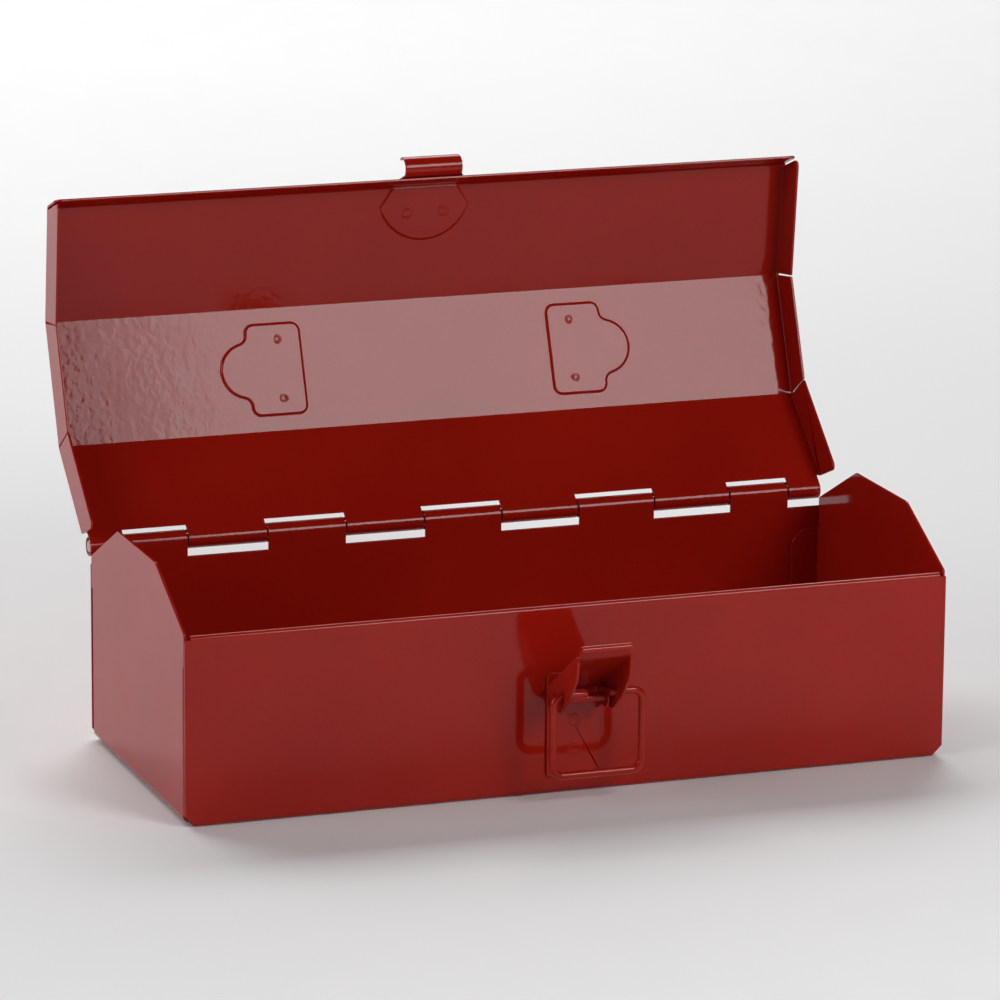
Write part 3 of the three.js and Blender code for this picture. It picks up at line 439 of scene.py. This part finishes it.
WELD_RIM = 0.16 * MM  # height of the rim
WELD_SUNK = 0.12 * MM  # the mark reaches this far into the sheet
WELD_SIDES = 30
WELD_SKIRT = 1.02  # radius of the sunk foot, as a share of the mark's
WELD_PROFILE = (  # (share of the rim's height, share of the radius), inwards from the edge
    (0.0, 1.0),
    (0.55, 0.9),
    (1.0, 0.76),
    (0.5, 0.6),
    (0.12, 0.42),
    (0.05, 0.0),
)
WELD_WAVES = ((0.07, 2, 0.0), (0.05, 3, 1.3))  # (depth, waves round the rim, phase)
WELD_RIM_SWING = 3.2  # the rim's height varies this much more than its radius


def weld_mark(name, spot, normal, radius, body, material, twist):
    """The crater of a spot weld: a slightly uneven rim round a shallow pit."""
    profile = [(-WELD_SUNK, 0.0), (-WELD_SUNK, radius * WELD_SKIRT)]
    profile += [(WELD_RIM * rise, radius * share) for rise, share in WELD_PROFILE]
    piece = turned(name, profile, spot, normal, material, WELD_SIDES)
    across = normal.orthogonal().normalized()
    up = normal.cross(across)
    for vertex in piece.data.vertices:
        offset = vertex.co - spot
        height = offset.dot(normal)
        angle = math.atan2(offset.dot(up), offset.dot(across)) + twist
        uneven = sum(depth * math.sin(waves * angle + phase) for depth, waves, phase in WELD_WAVES)
        flat = offset - normal * height
        rise = height * (1 + WELD_RIM_SWING * uneven) if height > 0 else height
        vertex.co = spot + flat * (1 + uneven) + normal * rise
    return place(piece, body)


def surface_of(node):
    """Finds where a straight line meets a CAD node, and the face's normal there."""
    mesh = frame["nodes"][node].data
    tree = BVHTree.FromPolygons([v.co for v in mesh.vertices], [p.vertices for p in mesh.polygons])

    def meet(start, direction):
        spot, normal, _, _ = tree.ray_cast(start, direction)
        return spot, normal

    return meet


def opened(point):
    """A point of the shut lid, where the open lid has it."""
    turn = Matrix.Rotation(-LID_OPEN_ANGLE, 3, "X")
    return LID_AXIS + turn @ (point - LID_AXIS)


LID_INSIDE_SHUT = 0.05  # z of a place inside the shut box, to look up at the lid from
LID_WELD_TWIST = 1.7  # radians from one weld's unevenness to the next one's
BRACKET_WELD_SIZE = 0.72  # of the usual weld radius
CATCH_WELD_SIZE = 0.95
BRACKET_WELD_X = 57 * MM
BRACKET_WELD_SPREAD = 11 * MM
BRACKET_MIDDLE_Y = -0.8 * MM
CATCH_WELDS = ((-6.7 * MM, 9.6 * MM), (7.4 * MM, 9.5 * MM))  # (x, distance behind the fold)
CATCH_FOLD_Y = -62.8 * MM  # the shut lid's front fold
BASE_WELDS = (16.4 * MM, 26.5 * MM)  # heights over the floor
BASE_WELD_TWIST = 2.1
BASE_WELD_PHASE = 0.6
IN_FRONT = -0.2  # y of a point well in front of the latch
WELD_RADIUS = 2.3 * MM


def lid_welds():
    lid = surface_of("lid_shell")
    up = Matrix.Rotation(-LID_OPEN_ANGLE, 3, "X") @ Vector((0, 0, 1))
    places = []
    for side in (-1, 1):
        for along in (-1, 1):
            y = BRACKET_MIDDLE_Y + along * BRACKET_WELD_SPREAD
            places.append((side * BRACKET_WELD_X, y, BRACKET_WELD_SIZE))
    for x, from_fold in CATCH_WELDS:
        places.append((x, CATCH_FOLD_Y + from_fold, CATCH_WELD_SIZE))
    for i, (x, y, size) in enumerate(places):
        spot, normal = lid(opened(Vector((x, y, LID_INSIDE_SHUT))), up)
        weld_mark(
            f"lid_weld_{i + 1}", spot, normal, WELD_RADIUS * size, "lid",
            LID_ENAMEL, LID_WELD_TWIST * i,
        )


def base_welds():
    base = surface_of("latch_base")
    for i, z in enumerate(BASE_WELDS):
        spot, normal = base(Vector((0, IN_FRONT, z)), Vector((0, 1, 0)))
        weld_mark(
            f"base_weld_{i + 1}", spot, normal, WELD_RADIUS, "body",
            HARDWARE_ENAMEL, BASE_WELD_TWIST * i + BASE_WELD_PHASE,
        )


# ------------------------------------------------------------------ studio

FLOOR_SIZE = 7  # metres, from its middle to each edge
FLOOR_DROP = 0.05 * MM  # it lies just clear of the underside
HORIZON_HEIGHT = 0.35  # of the surround, as the upward part of its direction
OVERHEAD_HEIGHT = 0.8
HORIZON_STRENGTH = 0.75
OVERHEAD_STRENGTH = 0.04


def studio_floor():
    bm = bmesh.new()
    bmesh.ops.create_grid(bm, x_segments=4, y_segments=4, size=FLOOR_SIZE)
    n = Nodes("studio_floor")
    shade = n.ramp(n.noise(3, 2), 0.3, 0.7, 0.0, 1.0)
    colour = n.mix(shade, (0.86, 0.86, 0.86), (0.88, 0.88, 0.88))
    roughness = n.ramp(n.noise(40, 2), 0.3, 0.7, 0.6, 0.7)
    material = n.finish(colour, roughness, n.bump(n.noise(200, 2), 0.01 * MM))
    floor = new_object("studio_floor", bm, material)
    floor.location.z = -FLOOR_DROP


def softbox(name, place_at, aim, width, height, watts):
    light = bpy.data.lights.new(name, "AREA")
    light.shape = "RECTANGLE"
    light.size = width
    light.size_y = height
    light.energy = watts
    lamp = bpy.data.objects.new(name, light)
    lamp.location = place_at
    lamp.rotation_euler = (aim - place_at).to_track_quat("-Z", "Y").to_euler()
    bpy.context.scene.collection.objects.link(lamp)


def studio_air():
    """A dim, even surround that is darker still overhead."""
    world = bpy.data.worlds.new("studio")
    world.use_nodes = True
    tree = world.node_tree
    background = tree.nodes["Background"]
    direction = tree.nodes.new("ShaderNodeTexCoord")
    split = tree.nodes.new("ShaderNodeSeparateXYZ")
    fade = tree.nodes.new("ShaderNodeMapRange")
    fade.inputs["From Min"].default_value = HORIZON_HEIGHT
    fade.inputs["From Max"].default_value = OVERHEAD_HEIGHT
    fade.inputs["To Min"].default_value = HORIZON_STRENGTH
    fade.inputs["To Max"].default_value = OVERHEAD_STRENGTH
    tree.links.new(direction.outputs["Generated"], split.inputs["Vector"])
    tree.links.new(split.outputs["Z"], fade.inputs["Value"])
    tree.links.new(fade.outputs["Result"], background.inputs["Strength"])
    bpy.context.scene.world = world


def camera():
    data = bpy.data.cameras.new("camera")
    data.lens = CAMERA_LENS_MM
    data.sensor_width = CAMERA_SENSOR_MM
    data.clip_end = 50
    eye = bpy.data.objects.new("camera", data)
    heading = Matrix.Rotation(CAMERA_HEADING, 4, "Z")
    tilt = Matrix.Rotation(CAMERA_TILT, 4, "X")
    roll = Matrix.Rotation(CAMERA_ROLL, 4, "Z")
    eye.matrix_world = Matrix.Translation(CAMERA_PLACE) @ heading @ tilt @ roll
    bpy.context.scene.collection.objects.link(eye)
    bpy.context.scene.camera = eye


KEY_AIM = Vector((0.006, 0.095, 0.125))  # middle of the open lid
KEY_DIRECTION = Vector((0.33, -0.836, 0.439)).normalized()  # mirrored off the lid's middle panel
KEY_DISTANCE = 1.3
KEY_CORE_SHIFT = Vector((0.0265, 0, 0))
KEY_HALO_BEHIND = 0.06  # the faint wide light stands this far behind the key
BACK_PLACE = Vector((0, 2.0, 1.9))
BACK_AIM = Vector((0, 1.0, 0))
LEFT_PLACE = Vector((-1.9, -0.35, 0.95))
LEFT_AIM = Vector((0, 0, 0.06))


def studio():
    studio_floor()
    studio_air()
    key_place = KEY_AIM + KEY_DIRECTION * KEY_DISTANCE
    softbox("key_core", key_place + KEY_CORE_SHIFT, KEY_AIM + KEY_CORE_SHIFT, 0.382, 0.5, 1.75)
    softbox("key", key_place, KEY_AIM, 0.47, 0.5, 3.3)
    softbox("key_halo", key_place + KEY_DIRECTION * KEY_HALO_BEHIND, KEY_AIM, 0.9, 0.8, 1.2)
    softbox("back_overhead", BACK_PLACE, BACK_AIM, 3.4, 1.6, 72.0)
    softbox("left_fill", LEFT_PLACE, LEFT_AIM, 1.4, 1.2, 14.0)
    bpy.context.scene.view_settings.view_transform = "Standard"


camera()
sheet_pieces()
bent_wire("carry_handle", "handle", "handle", HANDLE_BEND, HANDLE_END_REACH)
bent_wire("wire_loop", "latch_bail", "latch_bail", LOOP_BEND, LOOP_END_REACH)
hinge_wire()
latch_rivet()
lid_welds()
base_welds()
studio()

bpy.context.view_layer.update()
